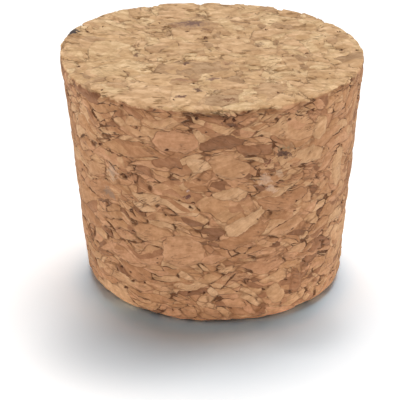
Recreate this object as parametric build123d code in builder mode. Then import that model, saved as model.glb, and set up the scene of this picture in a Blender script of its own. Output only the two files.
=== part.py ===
"""Cork stopper: one tapered plug moulded from cork granules, solid all through.

It stands on its narrow end. The origin is the middle of that end face, +Z runs up the
plug's own axis to the wide end, and every size is in millimetres.
"""

import os

from build123d import *

# Driving dimensions
WIDE_END_DIAMETER = 38.0  # the top face, which stays outside the neck
NARROW_END_DIAMETER = 32.5  # the foot, which goes into the neck first
HEIGHT = 30.0  # from end face to end face, along the axis
WIDE_END_ROUNDING = 0.4  # the top face is sawn and sanded, so its edge is nearly sharp
NARROW_END_ROUNDING = 1.5  # the foot's edge is worn round by being pushed into necks

wide_radius = WIDE_END_DIAMETER / 2
narrow_radius = NARROW_END_DIAMETER / 2

os.makedirs("parts", exist_ok=True)

# The plug: half of its section, turned once round the axis
with BuildPart() as stopper:
    with BuildSketch(Plane.XZ):
        with BuildLine():
            Polyline(
                (0, 0),
                (narrow_radius, 0),
                (wide_radius, HEIGHT),
                (0, HEIGHT),
                close=True,
            )
        make_face()
    revolve(axis=Axis.Z)

    rims = stopper.edges().filter_by(GeomType.CIRCLE).sort_by(Axis.Z)
    fillet(rims[0], radius=NARROW_END_ROUNDING)

    rims = stopper.edges().filter_by(GeomType.CIRCLE).sort_by(Axis.Z)
    fillet(rims[-1], radius=WIDE_END_ROUNDING)

stopper.part.label = "stopper"
export_step(stopper.part, "parts/stopper.step")
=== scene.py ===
import math

import bmesh
import bpy
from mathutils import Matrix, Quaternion, Vector


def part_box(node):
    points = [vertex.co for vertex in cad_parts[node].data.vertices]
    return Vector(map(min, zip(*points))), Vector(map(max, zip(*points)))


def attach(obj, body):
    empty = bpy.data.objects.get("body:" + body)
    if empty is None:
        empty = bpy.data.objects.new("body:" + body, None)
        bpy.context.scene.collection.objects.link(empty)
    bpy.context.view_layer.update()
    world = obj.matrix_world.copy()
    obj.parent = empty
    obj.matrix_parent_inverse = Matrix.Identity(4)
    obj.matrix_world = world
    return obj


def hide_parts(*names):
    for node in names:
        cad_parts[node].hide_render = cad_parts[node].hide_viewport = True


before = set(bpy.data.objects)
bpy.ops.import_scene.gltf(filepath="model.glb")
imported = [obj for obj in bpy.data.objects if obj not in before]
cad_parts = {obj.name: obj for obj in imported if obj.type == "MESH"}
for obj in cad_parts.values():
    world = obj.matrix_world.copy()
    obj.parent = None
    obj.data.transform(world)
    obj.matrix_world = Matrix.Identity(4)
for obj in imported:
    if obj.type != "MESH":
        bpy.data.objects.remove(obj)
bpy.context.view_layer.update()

# The stopper. One tapered plug moulded from cork granules and glue, sawn flat at both ends
# and ground to its taper. The wide end's edge is nearly sharp, and the foot's edge is worn
# round. Its skin is an even net of small faces, so that the granules can stand out of it.
MM = 0.001  # one millimetre in metres, which every size is in
low, high = (Vector(corner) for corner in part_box("stopper"))
height = high.z - low.z
wide_radius = (high.x - low.x) / 2
narrow_radius = 16.25 * MM
wide_rounding = 0.4 * MM
narrow_rounding = 1.5 * MM
FACES_ACROSS = 128  # small faces along each edge of the block that the plug is pressed from


def rounded(radius, rise):
    """Moves a point of the plug's straight-sided section on to its rounded rims."""
    foot = rise < height / 2
    rounding = narrow_rounding if foot else wide_rounding
    out = radius - (wide_radius - rounding)
    up = rounding - rise if foot else rise - (height - rounding)
    if out <= 0 or up <= 0:
        return radius, rise
    shrink = rounding / math.hypot(out, up)
    radius = wide_radius - rounding + out * shrink
    edge = rounding - up * shrink
    return radius, edge if foot else height - edge


def pressed(corner):
    """Where a corner of the block, which runs from -1 to 1, lies on the plug."""
    x, y, z = corner
    spread = max(abs(x), abs(y))
    slant = x * y / spread**2 if spread else 0
    if abs(x) >= abs(y):
        turn = math.pi / 4 * slant + (math.pi if x < 0 else 0)
    else:
        turn = math.pi / 2 - math.pi / 4 * slant + (math.pi if y < 0 else 0)
    radius, rise = rounded(spread * wide_radius, (z + 1) / 2 * height)
    radius *= (narrow_radius + (wide_radius - narrow_radius) * rise / height) / wide_radius
    return Vector((radius * math.cos(turn), radius * math.sin(turn), low.z + rise))


block = bmesh.new()
bmesh.ops.create_cube(block, size=2)
bmesh.ops.subdivide_edges(block, edges=block.edges[:], cuts=FACES_ACROSS - 1, use_grid_fill=True)
block.normal_update()

# The skin laid out flat, in millimetres, for its baked colours: the wall in four quarters, two
# to a row, with the wide end and the foot beside them
SHEET = Vector((99.5, 72.5))
QUARTER = Vector((30.0, 30.5))
QUARTER_INSET = 0.25
WIDE_END_SPOT = Vector((80.0, 19.5))
FOOT_SPOT = Vector((77.5, 55.5))
QUARTER_PLACES = {(1, 0): (0, 0), (0, 1): (1, 0), (-1, 0): (0, 1), (0, -1): (1, 1)}


def laid_out(corner, away):
    """Where a corner of a face, whose side of the block looks that way, lies on the sheet."""
    if away.z:
        spot = pressed(corner).xy / MM
        spot.x *= away.z
        spot += WIDE_END_SPOT if away.z > 0 else FOOT_SPOT
    else:
        along = (corner.y * away.x - corner.x * away.y + 1) / 2
        column, row = QUARTER_PLACES[(round(away.x), round(away.y))]
        spot = Vector((column * QUARTER.x + QUARTER_INSET, row * QUARTER.y + QUARTER_INSET))
        spot += Vector((along, (corner.z + 1) / 2)) * (QUARTER.x - QUARTER_INSET)
    return spot.x / SHEET.x, spot.y / SHEET.y


layout = block.loops.layers.uv.new("OFBake")
for face in block.faces:
    for corner in face.loops:
        corner[layout].uv = laid_out(corner.vert.co, face.normal)
for corner in block.verts:
    corner.co = pressed(corner.co)
for face in block.faces:
    face.smooth = True
skin = bpy.data.meshes.new("stopper_cork")
block.to_mesh(skin)
block.free()
stopper = bpy.data.objects.new("stopper_cork", skin)
bpy.context.collection.objects.link(stopper)


class Value:
    """An output of a node. Arithmetic on it adds the Math nodes that work it out."""

    def __init__(self, tree, socket=None):
        self.tree = tree
        self.socket = socket

    def node(self, kind, settings=None, inputs=None, output=0):
        """Adds a node of any kind: its settings first, then its sockets' values or links."""
        made = self.tree.nodes.new(kind)
        for name, setting in (settings or {}).items():
            if name == "stops":
                for place, colour in setting[2:]:
                    made.color_ramp.elements.new(place)
                for stop, (place, colour) in zip(made.color_ramp.elements, setting):
                    stop.position = place
                for stop, (place, colour) in zip(made.color_ramp.elements, setting):
                    stop.color = colour
            else:
                setattr(made, name, setting)
        shown = [socket for socket in made.inputs if socket.enabled]
        for name, value in (inputs or {}).items():
            if isinstance(name, int):
                socket = shown[name]
            else:
                socket = next(socket for socket in shown if socket.name == name)
            if isinstance(value, Value):
                self.tree.links.new(value.socket, socket)
            else:
                socket.default_value = value
        given = [socket for socket in made.outputs if socket.enabled]
        if isinstance(output, str):
            return Value(self.tree, next(socket for socket in given if socket.name == output))
        return Value(self.tree, given[output]) if given else None

    def math(self, operation, *values):
        """This number put through a Math node, with the other numbers that it needs."""
        inputs = {place: value for place, value in enumerate((self, *values))}
        return self.node("ShaderNodeMath", {"operation": operation}, inputs)

    def __add__(self, other):
        return self.math("ADD", other)

    __radd__ = __add__

    def __sub__(self, other):
        return self.math("SUBTRACT", other)

    def __rsub__(self, other):
        return self.math("MULTIPLY", -1).math("ADD", other)

    def __mul__(self, other):
        return self.math("MULTIPLY", other)

    __rmul__ = __mul__

    def step(self, start, end, low=0.0, high=1.0):
        """Rises smoothly from low to high as this value goes from start to end."""
        inputs = {"Value": self, "From Min": start, "From Max": end, "To Min": low, "To Max": high}
        return self.node("ShaderNodeMapRange", {"interpolation_type": "SMOOTHSTEP"}, inputs)

    def vector(self, operation, *values):
        """This place or direction put through a Vector Math node."""
        inputs = {place: value for place, value in enumerate((self, *values))}
        return self.node("ShaderNodeVectorMath", {"operation": operation}, inputs)

    def scaled(self, factor):
        inputs = {"Vector": self, "Scale": factor}
        return self.node("ShaderNodeVectorMath", {"operation": "SCALE"}, inputs)

    def dot(self, other):
        inputs = {0: self, 1: other}
        return self.node("ShaderNodeVectorMath", {"operation": "DOT_PRODUCT"}, inputs, "Value")

    def part(self, axis):
        """This place's X, Y or Z."""
        return self.node("ShaderNodeSeparateXYZ", {}, {0: self}, axis)

    def blend(self, other, share, kind="MIX"):
        """This colour, with the other over it by its share."""
        settings = {"data_type": "RGBA", "blend_type": kind}
        inputs = {"Factor": share, "A": self, "B": other}
        return self.node("ShaderNodeMix", settings, inputs, "Result")

    def between(self, other, share):
        """This number where share is 0, and the other where it is 1."""
        inputs = {"Factor": share, "A": self, "B": other}
        return self.node("ShaderNodeMix", {"data_type": "FLOAT"}, inputs, "Result")

    def noise(self, size, detail=2.0, roughness=0.5, output="Factor"):
        """Cloudy noise at this place, with lumps of that size."""
        inputs = {"Vector": self, "Scale": 1 / size, "Detail": detail, "Roughness": roughness}
        settings = {"noise_dimensions": "3D"}
        return self.node("ShaderNodeTexNoise", settings, inputs, 0 if output == "Factor" else 1)

    def warped(self, size, reach, detail=1.0):
        """This place, pushed about by noise."""
        push = self.noise(size, detail, output="Color").vector("SUBTRACT", (0.5, 0.5, 0.5))
        return self.vector("ADD", push.scaled(reach))

    def cells(self, size, lie):
        """This place, turned and counted in cells of that size."""
        settings = {"rotation_type": "EULER_XYZ"}
        turned = self.node("ShaderNodeVectorRotate", settings, {"Vector": self, "Rotation": lie})
        return turned.vector("DIVIDE", size)


# The cork itself. Granules of bark, flattened as they were pressed, lie in every direction
# but mostly level. Long flakes lie over middling granules, and crumbs fill what they leave.

# Each kind is a set of cells: its usual length, breadth and thickness, how it lies, and how
# many of its cells are whole granules of that kind
KINDS = (
    ((2.4 * MM, 2.2 * MM, 0.8 * MM), (0.2, -0.4, 0.3), 1.0),  # crumbs
    ((4.2 * MM, 3.8 * MM, 1.4 * MM), (-0.2, 0.25, 0.7), 0.55),  # middling granules
    ((6.4 * MM, 5.8 * MM, 2.3 * MM), (0.15, -0.1, 0.0), 0.35),  # long flakes
)
STIR = 37.0  # large enough to part random numbers that are nearly the same
REACH_INWARDS = 3.0  # how far through the wall the placed granules go, in millimetres
REACH_DOWN = 2.0  # and those of the wide end

# Granules that stand out on the wall. Each has its bearing round the wall in degrees, from the
# front to the right, and its rise up it; its length, thickness and lean, right end up; then its
# tone from pale to dark, its shade and how far in it lies
WALL_GRANULES = (
    (-13.0, 25.6, 5.8, 4.0, 8, (0.44, 0.60, 0.1)),  # the big smooth pinkish one
    (-5.0, 26.6, 2.6, 0.9, -60, (0.05, 0.90, 0.0)),  # the pale sliver that wraps round it
    (-17.5, 22.3, 3.6, 1.4, -5, (0.92, 0.40, 0.9)),
    (-5.3, 22.6, 2.5, 2.0, 0, (0.02, 0.70, 0.0)),  # a small round pale one
    (3.5, 25.4, 5.4, 1.7, 12, (0.97, 0.30, 0.9)),
    (13.0, 24.6, 3.2, 1.6, -25, (0.93, 0.40, 0.8)),
    (6.0, 22.3, 5.2, 3.2, -8, (0.30, 0.50, 0.2)),
    (6.5, 18.4, 4.8, 1.7, 4, (0.10, 0.70, 0.1)),
    (12.6, 14.4, 5.4, 2.2, 28, (0.04, 0.80, 0.0)),  # a long pale flake, well tilted
    (13.0, 12.6, 7.0, 1.8, 24, (0.78, 0.40, 0.6)),
    (29.0, 16.6, 7.5, 2.5, 5, (0.80, 0.50, 0.5)),
    (0.3, 13.2, 3.7, 1.3, 0, (0.98, 0.30, 0.9)),
    (-13.0, 10.5, 5.2, 4.2, -10, (0.36, 0.50, 0.2)),
    (-9.5, 5.6, 4.4, 1.1, 8, (0.02, 0.70, 0.0)),
    (-7.8, 4.6, 5.0, 1.1, 10, (0.97, 0.20, 1.0)),
    (-0.7, 4.9, 1.7, 1.3, 0, (0.00, 0.80, 0.0)),
    (44.0, 25.2, 2.8, 3.6, 0, (0.12, 0.60, 0.1)),
    (59.0, 18.5, 2.6, 5.2, 0, (0.08, 0.60, 0.0)),
    (37.0, 5.0, 2.0, 3.2, 20, (0.90, 0.40, 0.6)),
    (27.0, 3.8, 2.2, 3.4, 25, (0.14, 0.60, 0.1)),
)
# Granules that stand out on the wide end: across and back from its middle, length and breadth
END_GRANULES = (
    (-2.6, 10.2, 7.0, 3.8, (0.90, 0.55, 0.6)),
    (-0.8, 7.9, 1.9, 1.5, (0.90, 0.40, 0.5)),
    (-3.8, -9.6, 3.2, 1.8, (0.92, 0.40, 0.6)),
    (0.2, -4.0, 1.6, 1.7, (0.96, 0.40, 0.6)),
    (5.0, 0.5, 2.6, 2.2, (0.82, 0.40, 0.5)),
    (-3.0, -1.0, 2.2, 1.6, (0.02, 0.90, 0.1)),
    (13.2, -5.0, 3.0, 1.6, (0.02, 0.90, 0.0)),
)


def on_wall(bearing, rise):
    """The point of the wall at that bearing, in degrees, and rise, in millimetres."""
    turn = math.radians(bearing)
    radius = narrow_radius + (wide_radius - narrow_radius) * rise * MM / height
    return Vector((radius * math.sin(turn), -radius * math.cos(turn), low.z + rise * MM))


def lens(place, middle, size, lie):
    """How deep this place is inside a lens shape: 1 at its middle, 0 or less outside."""
    settings = {"rotation_type": "EULER_XYZ", "invert": True}
    inputs = {"Vector": place.vector("SUBTRACT", middle), "Rotation": lie}
    turned = place.node("ShaderNodeVectorRotate", settings, inputs)
    return 1 - turned.vector("DIVIDE", [length / 2 * MM for length in size]).vector("LENGTH")


def granules(place):
    """The granule that holds this place: three random numbers, and how far off its edge is."""
    ragged = place.warped(7 * MM, 4.0 * MM).warped(2.2 * MM, 1.0 * MM, 2.5)
    chance = edge = None
    for size, lie, share in KINDS:
        cell = ragged.cells(size, lie)
        inputs = {"Vector": cell, "Scale": 1.0, "Randomness": 1.0}
        cell_chance = cell.node("ShaderNodeTexVoronoi", {}, inputs, "Color")
        settings = {"feature": "DISTANCE_TO_EDGE"}
        cell_edge = cell.node("ShaderNodeTexVoronoi", settings, inputs, "Distance") * size[2]
        if chance is None:
            chance, edge = cell_chance, cell_edge
        else:
            whole = cell_chance.part("X").math("LESS_THAN", share)
            chance = chance.blend(cell_chance, whole)
            edge = edge.between(cell_edge, whole)
    # The first number also picked the kind, so the numbers are stirred before they are used
    inputs = {"Vector": chance.scaled(STIR)}
    chance = chance.node("ShaderNodeTexWhiteNoise", {"noise_dimensions": "3D"}, inputs, "Color")
    rough = place.warped(3.5 * MM, 2.6 * MM, 2.0).warped(0.9 * MM, 0.6 * MM)
    seen = []
    for bearing, rise, length, thickness, lean, numbers in WALL_GRANULES:
        lie = (0, -math.radians(lean), math.radians(bearing))
        inside = lens(rough, on_wall(bearing, rise), (length, REACH_INWARDS, thickness), lie)
        seen.append((inside, min(length, thickness), numbers))
    for across, back, length, breadth, numbers in END_GRANULES:
        middle = Vector((across * MM, back * MM, high.z))
        inside = lens(rough, middle, (length, breadth, REACH_DOWN), (0, 0, 0))
        seen.append((inside, min(length, breadth), numbers))
    for inside, width, numbers in seen:
        whole = inside.math("GREATER_THAN", 0)
        chance = chance.blend((*numbers, 1.0), whole)
        edge = edge.between(inside * (width / 2 * MM), whole)
    return chance, edge


def gaps(place, edge):
    """How open the joint between granules is here: most are tight, and some gape."""
    looseness = place.noise(1.8 * MM, 3.0, 0.6).step(0.48, 0.78)
    half_width = looseness * (0.09 * MM)
    return (edge - half_width).step(0.04 * MM, -0.02 * MM) * looseness.step(0.0, 0.3)


def pits(place, edge):
    """Small dark holes in the bark, where lenticels and bits of stone cells were."""
    level = (0.0, 0.0, 0.0)
    cell = place.warped(0.6 * MM, 0.6 * MM).cells((1.1 * MM, 1.1 * MM, 0.6 * MM), level)
    inputs = {"Vector": cell, "Scale": 1.0}
    near = cell.node("ShaderNodeTexVoronoi", {}, inputs, "Distance")
    chance = cell.node("ShaderNodeTexVoronoi", {}, inputs, "Color").part("Y")
    hole = (near - chance.step(0.76, 1.0, 0.0, 0.26)).step(0.03, -0.07)
    return hole * edge.step(0.60 * MM, 0.30 * MM, 0.2, 1.0)


def rim_chips(place):
    """Where crumbs have come away from the sharp edge of the wide end."""
    radius = place.vector("MULTIPLY", (1, 1, 0)).vector("LENGTH")
    across = (radius - wide_radius).math("ABSOLUTE")
    below = (place.part("Z") - high.z).math("ABSOLUTE")
    near_rim = across.math("MAXIMUM", below).step(0.9 * MM, 0.2 * MM)
    return near_rim * place.noise(1.6 * MM, 3.0, 0.6).step(0.50, 0.66)


# Its relief: open joints and pits go in, and each granule lies a little higher or lower.
JOINT_DEPTH = 0.15 * MM
PIT_DEPTH = 0.30 * MM
GRANULE_DEPTH = 0.16 * MM  # of the lowest granule below the highest
OUTLINE_DEPTH = 0.08 * MM
UNEVENNESS = 0.10 * MM
CHIP_DEPTH = 0.45 * MM
FULLNESS = 0.14 * MM  # how far the whole wall stands out, to make up for what goes in
relief = bpy.data.node_groups.new("granule_relief", "GeometryNodeTree")
relief.interface.new_socket("Geometry", in_out="INPUT", socket_type="NodeSocketGeometry")
relief.interface.new_socket("Geometry", in_out="OUTPUT", socket_type="NodeSocketGeometry")
start = Value(relief)
plain = start.node("NodeGroupInput")
place = start.node("GeometryNodeInputPosition")
settings = {"data_type": "FLOAT_VECTOR", "domain": "POINT"}
inputs = {"Geometry": plain, "Name": "place", "Value": place}
marked = start.node("GeometryNodeStoreNamedAttribute", settings, inputs)
chance, edge = granules(place)
depth = gaps(place, edge) * JOINT_DEPTH + pits(place, edge) * PIT_DEPTH
depth = depth + chance.part("Z") * GRANULE_DEPTH + edge.step(0.4 * MM, 0.0) * OUTLINE_DEPTH
depth = depth + place.noise(3 * MM, 3.0) * UNEVENNESS + rim_chips(place) * CHIP_DEPTH
depth = depth - place.part("Z").step(0.0, 2 * MM) * FULLNESS
shift = start.node("GeometryNodeInputNormal").scaled(depth * -1)
# The plug isn't quite true. The rim swells at the back on the left, and the foot's edge is worn
# more at the front on the left than on the right. Each has its bearing, the rises where it is
# full and where it has died away, and how far out and how far up it goes, in millimetres.
SWELLINGS = (
    (-122, 30.0, 21.0, 0.60, 0.45),
    (-46, 0.3, 5.0, -0.70, 0.0),
    (52, 0.6, 6.0, 0.40, 0.0),
)
for bearing, full, gone, out, up in SWELLINGS:
    turn = math.radians(bearing)
    outwards = Vector((math.sin(turn), -math.cos(turn), 0))
    share = place.dot(outwards).step(0.62 * wide_radius, 0.98 * wide_radius)
    share = share * place.part("Z").step(gone * MM, full * MM)
    swell = (outwards * out + Vector((0, 0, up))) * MM
    swell = start.node("ShaderNodeCombineXYZ", {}, dict(enumerate(swell)))
    shift = shift.vector("ADD", swell.scaled(share))
moved = start.node("GeometryNodeSetPosition", {}, {"Geometry": marked, "Offset": shift})
start.node("NodeGroupOutput", {}, {"Geometry": moved})

stopper.modifiers.new("granule relief", "NODES").node_group = relief
made = bpy.context.evaluated_depsgraph_get()
carved = bpy.data.meshes.new_from_object(
    stopper.evaluated_get(made), preserve_all_data_layers=True, depsgraph=made
)
stopper.modifiers.clear()
stopper.data = carved
bpy.data.meshes.remove(skin)
carved.name = "stopper_cork"


def srgb(red, green, blue):
    """A colour as it is seen, given on a scale of 255, turned into amounts of light."""
    steps = (red / 255, green / 255, blue / 255)
    return (*(c / 12.92 if c <= 0.04045 else ((c + 0.055) / 1.055) ** 2.4 for c in steps), 1.0)


cork = bpy.data.materials.new("cork")
cork.use_nodes = True
cork.node_tree.nodes.clear()
start = Value(cork.node_tree)
place = start.node("ShaderNodeAttribute", {"attribute_name": "place"}, {}, "Vector")
chance, edge = granules(place)
open_joint = gaps(place, edge)
hole = pits(place, edge)

# The wide end is a fresh sawn face, paler and more even than the ground wall. Its edge is ragged.
SAWN_PALER = (1.26, 1.49, 1.57, 1.0)
rise = place.part("Z") + place.noise(2.2 * MM, 3.0, 0.6).step(0.48, 0.62) * (0.35 * MM)
end = rise.step(high.z - 0.5 * MM, high.z - 0.1 * MM)

# Each granule has its own brown: golden, pinkish, or the mauve brown of old bark
TONES = (
    (0.00, srgb(199, 155, 115)),
    (0.22, srgb(191, 144, 103)),
    (0.45, srgb(188, 136, 99)),
    (0.62, srgb(182, 133, 92)),
    (0.80, srgb(174, 123, 85)),
    (0.93, srgb(156, 107, 74)),
    (1.00, srgb(131, 87, 59)),
)
USUAL_TONE = srgb(188, 143, 103)
tone = start.node("ShaderNodeValToRGB", {"stops": TONES}, {0: chance.part("X")}, "Color")
tone = tone.blend(USUAL_TONE, end * 0.35)

# Growth layers show as fine streaks across each granule, nearly level but tilted with it. They
# are drawn out along the layers, by squeezing the noise across them.
tilt = chance.vector("SUBTRACT", (0.5, 0.5, 0.5)).vector("MULTIPLY", (1.3, 1.3, 0.4))
upright = tilt.vector("ADD", (0, 0, 1)).vector("NORMALIZE")
LAYER_SQUEEZE = 4.0
along = place.vector("ADD", upright.scaled(place.dot(upright) * LAYER_SQUEEZE))
streak = along.noise(2.2 * MM, 4.0, 0.65)
vein = (along.noise(3.0 * MM, 2.0, 0.6) - 0.5).math("ABSOLUTE").step(0.025, 0.0)
vein = vein * place.noise(2.5 * MM, 1.0).step(0.5, 0.6)
# The saw has drawn the marks of the wide end out along its stroke, and they stand out more there
drawn = place.blend(place.vector("MULTIPLY", (0.58, 1.0, 1.0)), end)
mottle = drawn.noise(1.1 * MM, 2.0, 0.6)
mottle = mottle.step(0.3, 0.7, 0.86, 1.11).math("POWER", end.step(0.0, 1.0, 1.0, 1.7))
grit = place.noise(0.45 * MM, 3.0, 0.7)
outline = edge.step(0.11 * MM, 0.0) * place.noise(1.5 * MM, 2.0).step(0.35, 0.6, 0.25, 1.0)
shade = streak.step(0.3, 0.7, 0.83, 1.12) * grit.step(0.25, 0.75, 0.89, 1.10)
shade = shade * mottle * chance.part("Y").step(0.0, 1.0, 0.95, 1.05)
# Where cork is darker it is redder too
inputs = {0: shade.math("POWER", 0.78), 1: shade, 2: shade.math("POWER", 1.30)}
shade = start.node("ShaderNodeCombineXYZ", {}, inputs)
surface = tone.blend(shade, 1.0, "MULTIPLY")

# The dark lines round granules are fainter on the wide end, which has brown flecks instead
LINE_BROWN = srgb(112, 68, 36)
VEIN_BROWN = srgb(112, 66, 34)
JOINT_BROWN = srgb(98, 56, 28)
HOLE_BROWN = srgb(90, 46, 26)
FLECK_BROWN = srgb(112, 70, 30)
dimmed = end.step(0.0, 1.0, 1.0, 0.4)
surface = surface.blend(LINE_BROWN, outline * dimmed * 0.7)
surface = surface.blend(VEIN_BROWN, vein * dimmed * 0.6)
surface = surface.blend(JOINT_BROWN, open_joint * dimmed * 0.9)
surface = surface.blend(HOLE_BROWN, hole * 0.9)
fleck = drawn.noise(0.9 * MM, 2.0, 0.6).step(0.58, 0.67)
fleck = fleck * place.noise(5 * MM, 1.0).step(0.40, 0.55)
surface = surface.blend(FLECK_BROWN, fleck * end * 0.75)
surface = surface.blend(SAWN_PALER, end, "MULTIPLY")

# Just below the sawn edge a painted shadow line darkens the wall, in a ragged band
SHADOW_LINE_DARKER = (0.68, 0.60, 0.52, 1.0)
painted_shadow_line = rise.step(high.z - 1.4 * MM, high.z - 0.6 * MM) * (1 - end)
painted_shadow_line = painted_shadow_line * place.noise(1.6 * MM, 3.0).step(0.40, 0.56)
surface = surface.blend(SHADOW_LINE_DARKER, painted_shadow_line, "MULTIPLY")

# Marks that stand out. On the wall: bearing, rise, length, thickness, lean, colour and strength.
# On the wide end: how far right and back from its middle, length, breadth, colour and strength.
MARK_THICKNESS = 2.0  # through the skin, in millimetres
WALL_MARKS = (
    (20.0, 20.2, 2.6, 1.6, 20, srgb(210, 178, 154), 0.5),  # a whitish scuff
    (22.5, 18.9, 1.8, 1.4, -50, srgb(210, 178, 154), 0.45),
    (26.0, 20.8, 1.8, 1.0, -30, srgb(208, 178, 150), 0.4),
    (-46.5, 16.4, 3.0, 1.4, -20, srgb(126, 108, 94), 0.55),  # a grey smear
    (-43.0, 19.5, 1.8, 2.6, -30, srgb(196, 172, 150), 0.4),
    (26.6, 23.9, 3.0, 1.1, 0, srgb(146, 118, 86), 0.8),  # a greyish lens, dark underneath
    (27.2, 23.2, 2.8, 1.1, -6, srgb(92, 58, 46), 0.9),
    (20.8, 22.3, 1.1, 0.6, 10, srgb(112, 56, 42), 0.9),
    (-9.8, 18.2, 1.2, 0.9, 20, srgb(92, 52, 50), 0.9),  # a dark pit with a whitish bit over it
    (-10.2, 18.9, 0.6, 0.35, 0, srgb(206, 190, 184), 0.5),
    (6.5, 28.0, 3.2, 0.5, -18, srgb(92, 52, 34), 0.8),  # a crack
)
END_MARKS = (
    (-17.8, 6.4, 2.6, 2.0, srgb(58, 46, 50), 1.5),  # a dark chip at the rim
    (-2.9, 10.2, 6.4, 3.6, srgb(150, 112, 86), 0.75),  # old bark, mauve and grey
    (-2.4, 10.6, 4.0, 1.9, srgb(112, 78, 66), 1.0),
    (-0.6, 8.3, 2.0, 2.0, srgb(118, 70, 36), 0.8),
    (-5.2, 10.0, 2.0, 1.2, srgb(132, 88, 56), 0.6),
    (-3.4, -9.2, 3.6, 1.2, srgb(150, 96, 66), 0.6),
    (1.8, -3.6, 2.0, 1.6, srgb(152, 104, 78), 0.5),
    (-3.2, -3.5, 0.9, 1.1, srgb(84, 40, 24), 1.0),  # pits that the saw has opened
    (-1.8, -12.6, 1.5, 1.7, srgb(88, 48, 28), 1.0),
    (-3.9, -14.7, 2.2, 1.2, srgb(98, 58, 46), 0.9),
    (0.0, -8.8, 2.2, 1.5, srgb(118, 78, 68), 0.8),
    (1.8, -15.6, 2.2, 1.5, srgb(112, 64, 32), 0.9),
    (-9.5, -0.6, 1.3, 1.1, srgb(98, 56, 36), 0.8),
    (5.9, 3.2, 1.5, 1.4, srgb(112, 72, 46), 0.7),
)
rough = place.warped(1.6 * MM, 1.2 * MM, 3.0).warped(0.5 * MM, 0.5 * MM)
marks = []
for bearing, rise, length, thickness, lean, colour, strength in WALL_MARKS:
    lie = (0, -math.radians(lean), math.radians(bearing))
    inside = lens(rough, on_wall(bearing, rise), (length, MARK_THICKNESS, thickness), lie)
    marks.append((inside, colour, strength))
for across, back, length, breadth, colour, strength in END_MARKS:
    middle = Vector((across * MM, back * MM, high.z))
    inside = lens(rough, middle, (length, breadth, MARK_THICKNESS), (0, 0, 0))
    marks.append((inside, colour, strength))
broken = grit.step(0.3, 0.7, -0.5, 0.5)
for inside, colour, strength in marks:
    surface = surface.blend(colour, (inside + broken).step(0.0, 0.6) * strength)

# Relief too fine for the skin's faces: streaks and grit stand up, joints, pits and veins go in,
# and each granule's edge is rounded off
raised = streak * (0.08 * MM) + grit * (0.04 * MM)
raised = raised - open_joint * (0.12 * MM) - hole * (0.15 * MM) - vein * (0.05 * MM)
raised = raised + edge.step(0.0, 0.6 * MM) * (0.13 * MM)
inputs = {"Strength": 1.0, "Distance": 1.0, "Height": raised}
bump = start.node("ShaderNodeBump", {}, inputs)
inputs = {
    "Base Color": surface,
    "Roughness": 0.85,
    "Specular IOR Level": 0.25,
    "Sheen Weight": 0.14,
    "Sheen Roughness": 0.6,
    "Sheen Tint": (1.0, 0.90, 0.65, 1.0),
    "Normal": bump,
}
finish = start.node("ShaderNodeBsdfPrincipled", {}, inputs)
start.node("ShaderNodeOutputMaterial", {}, {"Surface": finish})
stopper.data.materials.append(cork)

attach(stopper, "root")
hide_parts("stopper")

# The table top: a broad sheet of white paper that takes the stopper's shadow. Away from the
# stopper the camera sees it whiter than the light that it throws back on the stopper, and near
# the front of the stopper cooler, against the warm light that the cork throws on it. Round the
# foot a painted shadow darkens it further.
HALF_SHEET = 5.0
SHADOW_MIDDLE = 0.7  # how far forward the deepest shadow is, in radii of the foot
FAR_WHITE = (1.37, 1.37, 1.37, 1.0)
NEAR_WHITE = (1.21, 1.38, 1.51, 1.0)
CONTACT_SHADOW_PAINT = (0.69, 0.86, 0.97, 1.0)
FAR_BOUNCE = (0.85, 0.85, 0.85, 1.0)
NEAR_BOUNCE = (2.25, 2.35, 2.45, 1.0)
# Painted shadow, in two soft patches at the front where the shadow is deepest. Each has its
# place, across and back from the middle, its reach in millimetres, and how much light it leaves.
PAINTED_SHADOW_PATCHES = ((-11.3, -22.3, 14.0, 0.78), (11.0, -17.6, 8.0, 0.84))
table = bmesh.new()
bmesh.ops.create_grid(table, x_segments=1, y_segments=1, size=HALF_SHEET)
bmesh.ops.translate(table, verts=table.verts, vec=(0, 0, low.z))
sheet = bpy.data.meshes.new("table_top")
table.to_mesh(sheet)
table.free()
floor = bpy.data.objects.new("table_top", sheet)
bpy.context.collection.objects.link(floor)
paper = bpy.data.materials.new("white_paper")
paper.use_nodes = True
paper.node_tree.nodes.clear()
start = Value(paper.node_tree)
from_camera = start.node("ShaderNodeLightPath", {}, {}, "Is Camera Ray")
ground = start.node("ShaderNodeTexCoord", {}, {}, "Object").vector("MULTIPLY", (1, 1, 0))
# A painted shadow darkens the paper round the foot, and cools it against the cork's warm light
painted_contact_shadow = ground.vector("LENGTH").step(20.5 * MM, 16.5 * MM)
off_shadow = ground.vector("ADD", (0, SHADOW_MIDDLE * narrow_radius, 0)).vector("LENGTH")
far = off_shadow.step(8 * MM, 30 * MM)
shown = start.node("ShaderNodeRGB")
shown.socket.default_value = NEAR_WHITE
shown = shown.blend(FAR_WHITE, far)
shown = shown.blend(CONTACT_SHADOW_PAINT, painted_contact_shadow * (1 - far), "MULTIPLY")
# The two patches of painted shadow
for across, back, reach, left in PAINTED_SHADOW_PATCHES:
    off_patch = ground.vector("SUBTRACT", (across * MM, back * MM, 0)).vector("LENGTH")
    deep = off_patch.step(reach * MM, 2 * MM)
    shown = shown.blend((left, left, left, 1.0), deep, "MULTIPLY")
# Near the stopper the paper throws back more light than falls on it, a painted glow that lights
# the low wall
bounced = start.node("ShaderNodeRGB")
bounced.socket.default_value = NEAR_BOUNCE
bounced = bounced.blend(FAR_BOUNCE, off_shadow.step(10 * MM, 24 * MM))
matt = start.node("ShaderNodeBsdfDiffuse", {}, {"Color": bounced.blend(shown, from_camera)})
start.node("ShaderNodeOutputMaterial", {}, {"Surface": matt})
sheet.materials.append(paper)

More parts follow.
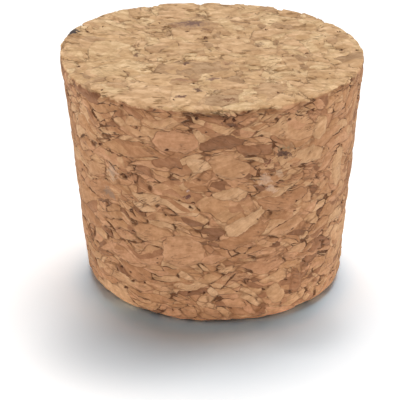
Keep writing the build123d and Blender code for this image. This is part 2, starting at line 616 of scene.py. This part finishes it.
# The light: a white room, a broad soft sun high behind the stopper, and two soft lamps that
# light the stopper's wall alone, from both sides. Bearings are in degrees, from the front to
# the right, and so are rises, above level.
ROOM_LEVEL = 0.16
SUN_LEVEL = 0.72
SUN_RISE = 68
SUN_SPREAD = 44
SUN_BEARING = 170
SIDE_BEARING = 60
SIDE_RISE = 8
SIDE_DISTANCE = 0.22
SIDE_POWER = 0.385
SIDE_SIZE = 0.15
world = bpy.data.worlds.new("white_room")
bpy.context.scene.world = world
world.use_nodes = True
world.node_tree.nodes.clear()
start = Value(world.node_tree)
seen = start.node("ShaderNodeLightPath", {}, {}, "Is Camera Ray")
seen = seen + start.node("ShaderNodeLightPath", {}, {}, "Is Glossy Ray")
seen = seen + start.node("ShaderNodeLightPath", {}, {}, "Is Transmission Ray")
level = seen.step(0.0, 1.0, ROOM_LEVEL, 1.0)
room = start.node("ShaderNodeBackground", {}, {"Color": (1, 1, 1, 1), "Strength": level})
start.node("ShaderNodeOutputWorld", {}, {"Surface": room})
middle = (low + high) / 2


def shone(light, bearing, rise, distance=1.0):
    """Hangs a lamp round the stopper, facing it."""
    holder = bpy.data.objects.new(light.name, light)
    bearing, rise = math.radians(bearing), math.radians(rise)
    level_way = Vector((math.sin(bearing), -math.cos(bearing), 0))
    away = level_way * math.cos(rise) + Vector((0, 0, math.sin(rise)))
    holder.location = middle + away * distance
    holder.rotation_euler = away.to_track_quat("Z", "Y").to_euler()
    bpy.context.collection.objects.link(holder)
    return holder


sun = bpy.data.lights.new("sun", "SUN")
sun.energy = SUN_LEVEL * math.pi / math.sin(math.radians(SUN_RISE))
sun.angle = math.radians(SUN_SPREAD)
shone(sun, SUN_BEARING, SUN_RISE)
lit = bpy.data.collections.new("lit_by_side_lamps")
lit.objects.link(stopper)
for bearing in (-SIDE_BEARING, SIDE_BEARING):
    side = bpy.data.lights.new("side_lamp", "AREA")
    side.size = SIDE_SIZE
    side.energy = SIDE_POWER
    lamp = shone(side, bearing, SIDE_RISE, SIDE_DISTANCE)
    lamp.light_linking.receiver_collection = lit

# The camera: a long lens from in front and above. The stopper stands a little to the right of
# the middle of the view and above it, and the camera is not quite level.
CAMERA_RISE = math.radians(23.8)
CAMERA_ROLL = math.radians(-0.39)
CAMERA_DISTANCE = 270 * MM
CAMERA_LENS = 189.5
AIM_LEFT = 1.73 * MM
AIM_BELOW = 4.85 * MM
camera_data = bpy.data.cameras.new("camera")
camera_data.sensor_width = 36
camera_data.lens = CAMERA_LENS
camera_data.clip_start = 10 * MM
camera = bpy.data.objects.new("camera", camera_data)
back = Vector((0, -math.cos(CAMERA_RISE), math.sin(CAMERA_RISE)))
upwards = Vector((0, math.sin(CAMERA_RISE), math.cos(CAMERA_RISE)))
aim = middle - Vector((AIM_LEFT, 0, 0)) - upwards * AIM_BELOW
camera.location = middle + back * CAMERA_DISTANCE
facing = (aim - camera.location).to_track_quat("-Z", "Y")
camera.rotation_euler = (facing @ Quaternion((0, 0, 1), CAMERA_ROLL)).to_euler()
bpy.context.collection.objects.link(camera)
bpy.context.scene.camera = camera

bpy.context.scene.view_settings.view_transform = "Standard"
